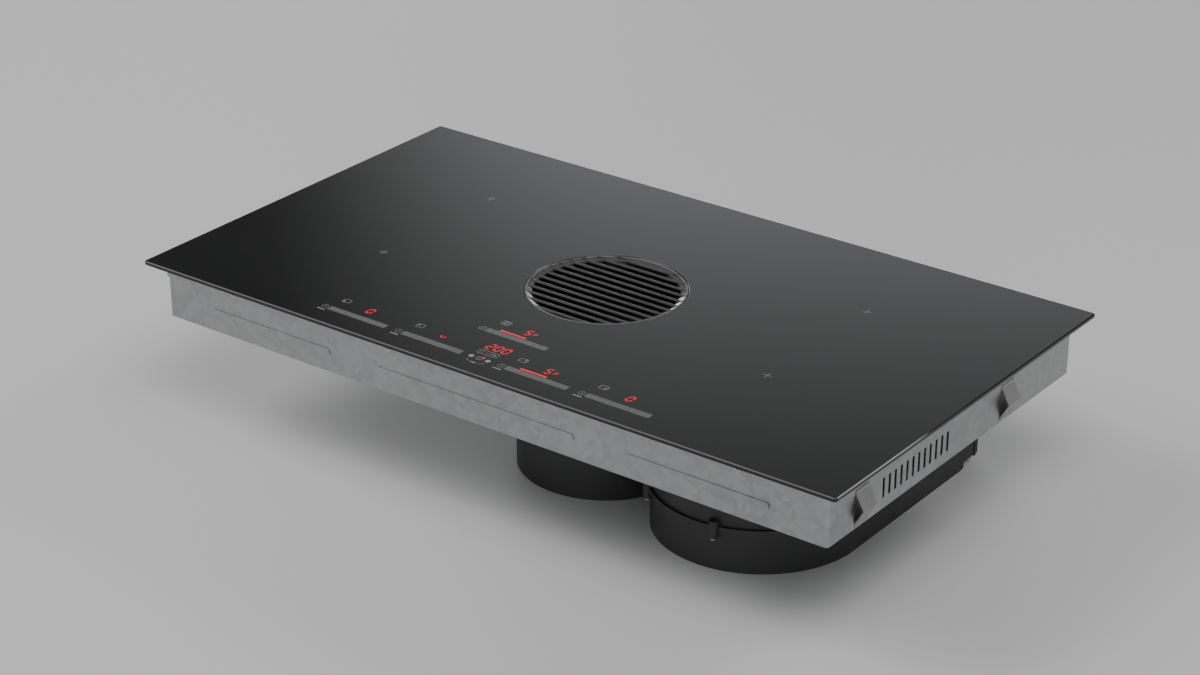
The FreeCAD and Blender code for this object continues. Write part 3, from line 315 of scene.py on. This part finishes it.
class Marks:
    """Flat shapes in millimetres on the glass, which become one thin piece."""

    def __init__(self, name, material):
        self.name, self.material = name, material
        self.mesh = bmesh.new()

    def face(self, points):
        self.mesh.faces.new([self.mesh.verts.new((x * MM, y * MM, 0)) for x, y in points])

    def bar(self, x0, y0, x1, y1):
        self.face([(x0, y0), (x1, y0), (x1, y1), (x0, y1)])

    def line(self, a, b, width):
        (ax, ay), (bx, by) = a, b
        length = math.hypot(bx - ax, by - ay)
        nx, ny = -(by - ay) / length * width / 2, (bx - ax) / length * width / 2
        self.face([(ax + nx, ay + ny), (ax - nx, ay - ny), (bx - nx, by - ny), (bx + nx, by + ny)])

    def strip(self, outer, inner, closed=True):
        count = len(outer)
        for i in range(count if closed else count - 1):
            j = (i + 1) % count
            self.face([outer[i], outer[j], inner[j], inner[i]])

    def arc(self, x, y, r, width, start=0.0, sweep=360.0, steps=36):
        """Ring or part of one, its middle line at r."""
        full = sweep >= 360
        count = steps if full else steps + 1
        turns = [math.radians(start + sweep * k / steps) for k in range(count)]
        outer, inner = [[(x + q * math.cos(a), y + q * math.sin(a)) for a in turns]
                        for q in (r + width / 2, r - width / 2)]
        self.strip(outer, inner, closed=full)

    def disc(self, x, y, r, steps=28):
        self.face([(x + r * math.cos(math.tau * k / steps), y + r * math.sin(math.tau * k / steps))
                   for k in range(steps)])

    def frame(self, x, y, w, h, corner, width):
        """Outline of a rounded rectangle w x h about (x, y)."""
        def loop(grow):
            points = []
            for k in range(24):
                a = math.radians(k * 15 + 7.5)
                sx, sy = (1 if math.cos(a) > 0 else -1), (1 if math.sin(a) > 0 else -1)
                points.append((x + sx * (w / 2 - corner) + (corner + grow) * math.cos(a),
                               y + sy * (h / 2 - corner) + (corner + grow) * math.sin(a)))
            return points
        self.strip(loop(0.0), loop(-width))

    def segments(self, x, y, lit, w=5.8, h=11.6, t=1.25):
        """Seven-segment figure about (x, y); lit holds the letters a to g of the segments that are on."""
        gap, half = 0.35, h / 2
        across = {"a": half - t / 2, "g": 0.0, "d": -half + t / 2}
        upright = {"b": (w / 2, 1), "c": (w / 2, -1), "f": (-w / 2, 1), "e": (-w / 2, -1)}
        for name in lit:
            if name in across:
                v = across[name]
                ends = w / 2 - gap
                shape = [(-ends, v), (-ends + t / 2, v + t / 2), (ends - t / 2, v + t / 2), (ends, v),
                         (ends - t / 2, v - t / 2), (-ends + t / 2, v - t / 2)]
            else:
                u, side = upright[name]
                low, high = gap * side, (half - t / 2 - gap) * side
                shape = [(u, low), (u + t / 2, low + t / 2 * side), (u + t / 2, high - t / 2 * side),
                         (u, high), (u - t / 2, high - t / 2 * side), (u - t / 2, low + t / 2 * side)]
            self.face([(x + u + v * LEAN, y + v) for u, v in shape])

    def finish(self):
        data = bpy.data.meshes.new(self.name)
        bmesh.ops.remove_doubles(self.mesh, verts=self.mesh.verts, dist=1e-7)
        bmesh.ops.recalc_face_normals(self.mesh, faces=self.mesh.faces)
        for f in self.mesh.faces:
            if f.normal.z < 0:
                f.normal_flip()
        bmesh.ops.translate(self.mesh, verts=self.mesh.verts,
                            vec=(GLASS_CENTRE.x, GLASS_CENTRE.y, GLASS_TOP + INK_LIFT * MM))
        self.mesh.to_mesh(data)
        self.mesh.free()
        piece = add_object(self.name, data)
        data.materials.append(self.material)
        body = piece.modifiers.new("thickness", "SOLIDIFY")
        body.thickness, body.offset = INK_T * MM, 1.0
        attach(piece, "hob")


FIGURES = {"0": "abcdef", "2": "abged", "5": "afgcd", "u": "cde"}
SLIDER_Y, FAN_Y = -223.0, -164.5
SLIDER_X = {"front_left": -166.7, "rear_left": -64.7, "rear_right": 72.3, "front_right": 174.8}
FAN_X = 0.6
SLIDER_W, SLIDER_H = 79.0, 8.6
TICK_PITCH, TICK_W = 1.3, 0.72
FIGURE_Y = 19.0                         # centre of a figure above its slider
LEVEL_Y, LEVEL_W, LEVEL_HALF_H = 7.0, 34.0, 1.2
TIMER_Y, TIMER_PITCH = -194.0, 10.2
KEY_FRAME_Y, KEY_ROW_Y = -208.6, -222.7  # the framed keys under the timer, and the round ones below
BRACKET_TOP, BRACKET_FOOT = -228.4, -233.2


def slider(marks, x, y):
    """Row of upright ticks that a finger slides along."""
    count = int(SLIDER_W / TICK_PITCH) + 1
    for k in range(count):
        u = x - SLIDER_W / 2 + k * TICK_PITCH
        marks.bar(u, y - SLIDER_H / 2, u + TICK_W, y + SLIDER_H / 2)


def clock_sign(marks, x, y):
    marks.arc(x, y, 3.6, 0.45)
    marks.line((x, y - 0.2), (x, y + 2.4), 0.45)
    marks.line((x - 0.2, y), (x + 1.9, y - 0.9), 0.45)


def fan_sign(marks, x, y, r):
    marks.arc(x, y, r, 0.45)
    for k in range(3):
        a = math.radians(k * 120 + 30)
        marks.arc(x + r * 0.4 * math.cos(a), y + r * 0.4 * math.sin(a), r * 0.26, 0.4, k * 120 - 60, 220, 10)


def zone_sign(marks, x, y, place):
    """Small plan of the hob, with a blob where the zone is."""
    marks.frame(x, y, 10.0, 7.8, 2.0, 0.6)
    marks.disc(x + (2.3 if "right" in place else -2.3), y + (1.2 if "rear" in place else -1.2), 1.15)


def level_bar(marks, x, y, width):
    """Row of lit cells that shows the level set."""
    cells, gap = 5, 0.5
    each = width / cells
    for k in range(cells):
        marks.bar(x + k * each, y - LEVEL_HALF_H, x + (k + 1) * each - gap, y + LEVEL_HALF_H)


def pennant(marks, x, y):
    """Lit sign beside a figure: residual heat or boost."""
    marks.segments(x, y, "efabg", 3.2, 6.4, 0.9)


def print_controls():
    ink = Marks("control_ticks", INK)
    signs = Marks("control_signs", SIGN_INK)
    lit = Marks("lit_figures", LED)
    for place, x in SLIDER_X.items():
        slider(ink, x, SLIDER_Y)
        clock_sign(signs, x - SLIDER_W / 2 - 6.2, SLIDER_Y + 0.6)
        signs.bar(x - SLIDER_W / 2 - 11.2, SLIDER_Y - 8.0, x - SLIDER_W / 2 - 0.6, SLIDER_Y - 6.4)
        zone_sign(signs, x - 35.0, SLIDER_Y + 23.5, place)
    lit.segments(SLIDER_X["front_left"] + 1.8, SLIDER_Y + FIGURE_Y, FIGURES["0"])
    lit.segments(SLIDER_X["rear_left"] + 1.0, SLIDER_Y + FIGURE_Y + 0.8, FIGURES["u"], 5.0, 9.6)
    lit.segments(SLIDER_X["rear_right"] + 1.2, SLIDER_Y + FIGURE_Y, FIGURES["5"])
    pennant(lit, SLIDER_X["rear_right"] + 10.0, SLIDER_Y + FIGURE_Y - 0.6)
    lit.segments(SLIDER_X["front_right"] + 1.2, SLIDER_Y + FIGURE_Y, FIGURES["0"])
    level_bar(lit, SLIDER_X["rear_right"] - 26.0, SLIDER_Y + LEVEL_Y, LEVEL_W)

    slider(ink, FAN_X, FAN_Y)
    fan_sign(signs, FAN_X - SLIDER_W / 2 - 5.5, FAN_Y, 3.8)
    signs.frame(FAN_X - 32.5, FAN_Y + 24.2, 10.0, 9.0, 1.2, 0.75)
    fan_sign(signs, FAN_X - 32.5, FAN_Y + 24.2, 2.5)
    lit.segments(FAN_X + 1.2, FAN_Y + FIGURE_Y + 0.4, FIGURES["5"])
    pennant(lit, FAN_X + 9.6, FAN_Y + FIGURE_Y)
    level_bar(lit, FAN_X - 26.8, FAN_Y + LEVEL_Y, LEVEL_W)

    print_centre(signs, lit)
    for marks in (ink, signs, lit):
        marks.finish()


def print_centre(signs, lit):
    """Timer figures and the keys below them."""
    for k, figure in enumerate("200"):
        lit.segments(-9.6 + k * TIMER_PITCH, TIMER_Y, FIGURES[figure], 6.2, 12.6, 1.35)
    signs.frame(-1.5, KEY_FRAME_Y, 25.5, 9.0, 1.4, 0.6)
    signs.arc(-9.0, KEY_FRAME_Y, 2.0, 0.45, 40, 280, 16)
    signs.line((-4.4, KEY_FRAME_Y), (4.0, KEY_FRAME_Y), 0.5)
    signs.line((1.8, KEY_FRAME_Y + 2.0), (4.2, KEY_FRAME_Y), 0.5)
    signs.disc(6.9, KEY_FRAME_Y, 1.3)
    for x in (-12.6, 9.2):
        signs.disc(x, KEY_ROW_Y, 3.0)
    signs.arc(-1.8, KEY_ROW_Y, 3.6, 0.55)
    signs.line((-1.8, KEY_ROW_Y - 0.9), (-1.8, KEY_ROW_Y + 2.7), 0.6)
    lit.disc(1.4, KEY_ROW_Y + 3.5, 1.4)
    for outer, corner, inner in ((-13.0, -10.2, -6.2), (9.6, 6.8, 2.8)):
        signs.line((outer, BRACKET_TOP), (corner, BRACKET_FOOT), 0.5)
        signs.line((corner, BRACKET_FOOT), (inner, BRACKET_FOOT), 0.5)
    signs.bar(-5.0, -234.6, 1.6, -232.8)


ZONE_X, ZONE_FRONT_Y, ZONE_REAR_Y = 255.0, -78.0, 112.0
CROSS_REACH, CROSS_W = 5.6, 0.95


def print_zones():
    marks = Marks("zone_crosses", INK)
    for x in (-ZONE_X, ZONE_X):
        for y in (ZONE_FRONT_Y, ZONE_REAR_Y):
            marks.bar(x - CROSS_REACH, y - CROSS_W / 2, x + CROSS_REACH, y + CROSS_W / 2)
            marks.bar(x - CROSS_W / 2, y - CROSS_REACH, x + CROSS_W / 2, y - CROSS_W / 2)
            marks.bar(x - CROSS_W / 2, y + CROSS_W / 2, x + CROSS_W / 2, y + CROSS_REACH)
    marks.finish()


# ---------------------------------------------------------------- filter mesh
def weave_filter():
    """Two layers of slanting flat strands, crossing to diamonds, in place of the plain sleeve."""
    low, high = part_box("filter_mesh")
    centre = (low + high) / 2
    radius, height = (high.x - low.x) / 2 - 0.5 * MM, high.z - low.z
    strands, steps, turn = 72, 30, math.radians(62)
    width, thickness, layer_gap = 0.9 * MM, 0.35 * MM, 0.12 * MM
    corners = [(-1, -1), (1, -1), (1, 1), (-1, 1)]
    mesh = bmesh.new()
    for way in (-1, 1):
        for k in range(strands):
            rings = []
            for i in range(steps + 1):
                share = i / steps
                a = math.tau * k / strands + way * turn * share
                r = radius + way * layer_gap
                out = Vector((math.cos(a), math.sin(a), 0))
                round_way = Vector((-math.sin(a), math.cos(a), 0)) * way * turn * r
                side = (round_way + Vector((0, 0, height))).normalized().cross(out)
                middle = Vector((centre.x, centre.y, low.z + height * share)) + out * r
                rings.append([mesh.verts.new(middle + side * (u * width / 2) + out * (v * thickness / 2))
                              for u, v in corners])
            for a_ring, b_ring in zip(rings, rings[1:]):
                for c in range(4):
                    d = (c + 1) % 4
                    mesh.faces.new([a_ring[c], a_ring[d], b_ring[d], b_ring[c]])
            mesh.faces.new(rings[0][::-1])
            mesh.faces.new(rings[-1])
    bmesh.ops.recalc_face_normals(mesh, faces=mesh.faces)
    data = bpy.data.meshes.new("woven_filter")
    mesh.to_mesh(data)
    mesh.free()
    data.materials.append(MATERIALS["filter_steel"])
    piece = add_object("woven_filter", data)
    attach(piece, "filter")
    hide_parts("filter_mesh")


# ---------------------------------------------------------------- floor, light and camera
def make_floor():
    paint = Paint("studio_floor", Roughness=0.7)
    cloud = paint.noise(0.8, 3.0)
    paint.feed("Base Color", paint.between(cloud, grey(0.76), grey(0.8)))
    mesh = bmesh.new()
    bmesh.ops.create_circle(mesh, cap_ends=True, segments=96, radius=14.0)
    data = bpy.data.meshes.new("floor")
    mesh.to_mesh(data)
    mesh.free()
    data.materials.append(paint.material)
    floor = add_object("floor", data)
    floor.location.z = FLOOR_Z


def heading(azimuth, elevation):
    """Direction of a compass point: azimuth 0 is +Y, and it grows towards -X."""
    a, e = math.radians(azimuth), math.radians(elevation)
    return (-math.sin(a) * math.cos(e), math.cos(a) * math.cos(e), math.sin(e))


def area_light(name, azimuth, elevation, distance, size, power):
    """Rectangular lamp of size (width, height) in metres, aimed at the middle of the hob; power in watts."""
    data = bpy.data.lights.new(name, "AREA")
    data.shape, data.energy = "RECTANGLE", power
    data.size, data.size_y = size
    light = add_object(name, data)
    light.location = Vector(heading(azimuth, elevation)) * distance
    light.rotation_euler = (-light.location).to_track_quat("-Z", "Y").to_euler()


SOFTBOX_AZIMUTH, SOFTBOX_COUNT = 31.0, 2
SOFTBOX_EDGE = (0.889, 1.0)             # cosine of its angle times the count, from dark to full
SOFTBOX_TOP = (33.5, 8.0)               # elevation from dark to full
HORIZON_TOP = (19.0, 6.0)               # elevation from dark to full of the bright band round the studio
SOFTBOX_LEVEL, HORIZON_LEVEL, WALL_LEVEL = 2.08, 0.5, 0.13
BACKDROP_LEVEL = 0.62                   # what the camera itself sees behind the floor


def make_world():
    """Grey studio with two soft lights low on opposite walls. The camera itself sees a plain pale wall."""
    world = bpy.data.worlds.new("studio")
    bpy.context.scene.world = world
    world.use_nodes = True
    tree = world.node_tree
    tree.nodes.clear()

    def node(kind, inputs=(), **settings):
        return add_node(tree, kind, inputs, **settings)

    def math_node(operation, a, b=0.0):
        return node("Math", {0: a, 1: b}, operation=operation).outputs[0]

    def smooth(value, start, end):
        inputs = {"Value": value, "From Min": start, "From Max": end, "To Min": 0.0, "To Max": 1.0}
        return node("MapRange", inputs, interpolation_type="SMOOTHSTEP").outputs["Result"]

    way = node("SeparateXYZ", {"Vector": node("TexCoord").outputs["Generated"]}).outputs
    azimuth = math_node("ARCTAN2", math_node("MULTIPLY", way["X"], -1.0), way["Y"])
    turned = math_node("SUBTRACT", azimuth, math.radians(SOFTBOX_AZIMUTH))
    across = math_node("COSINE", math_node("MULTIPLY", turned, float(SOFTBOX_COUNT)))
    elevation = math_node("ARCSINE", way["Z"])

    def below(limits):
        return smooth(elevation, *[math.radians(e) for e in limits])

    lobe = math_node("MULTIPLY", smooth(across, *SOFTBOX_EDGE), below(SOFTBOX_TOP))
    band = math_node("MULTIPLY", below(HORIZON_TOP), HORIZON_LEVEL)
    level = math_node("ADD", math_node("MULTIPLY", lobe, SOFTBOX_LEVEL), math_node("ADD", band, WALL_LEVEL))
    seen = node("Background", {"Color": (0.95, 0.97, 1.0, 1.0), "Strength": BACKDROP_LEVEL})
    lit = node("Background", {"Color": (0.97, 0.985, 1.0, 1.0), "Strength": level})
    first = node("LightPath").outputs["Is Camera Ray"]
    mix = node("MixShader", {0: first, 1: lit.outputs[0], 2: seen.outputs[0]})
    tree.links.new(mix.outputs[0], node("OutputWorld").inputs["Surface"])


def make_lights():
    area_light("key", 129, 44, 3.6, (2.4, 2.0), 50)
    area_light("fill", 225, 55, 3.8, (2.2, 1.8), 50)
    area_light("back", 330, 34, 3.8, (1.6, 1.2), 30)
    area_light("window", 50, 7, 4.0, (2.2, 1.0), 26)


CAMERA_PLACE = Vector((1.6668, -2.2533, 1.2828))
CAMERA_AIM = Vector((0.067, -0.109, 0.0))
CAMERA_ROLL = math.radians(0.155)
LENS_MM, SENSOR_MM = 85.74, 36.0


def make_camera():
    data = bpy.data.cameras.new("camera")
    data.lens, data.sensor_width = LENS_MM, SENSOR_MM
    data.clip_start, data.clip_end = 0.05, 60.0
    camera = add_object("camera", data)
    place = Matrix.Translation(CAMERA_PLACE + Vector((0, 0, GLASS_TOP)))
    turn = (CAMERA_AIM - CAMERA_PLACE).to_track_quat("-Z", "Y").to_matrix().to_4x4()
    camera.matrix_world = place @ turn @ Matrix.Rotation(CAMERA_ROLL, 4, "Z")
    bpy.context.scene.camera = camera


dress_nodes()
print_controls()
print_zones()
weave_filter()
make_floor()
make_world()
make_lights()
make_camera()
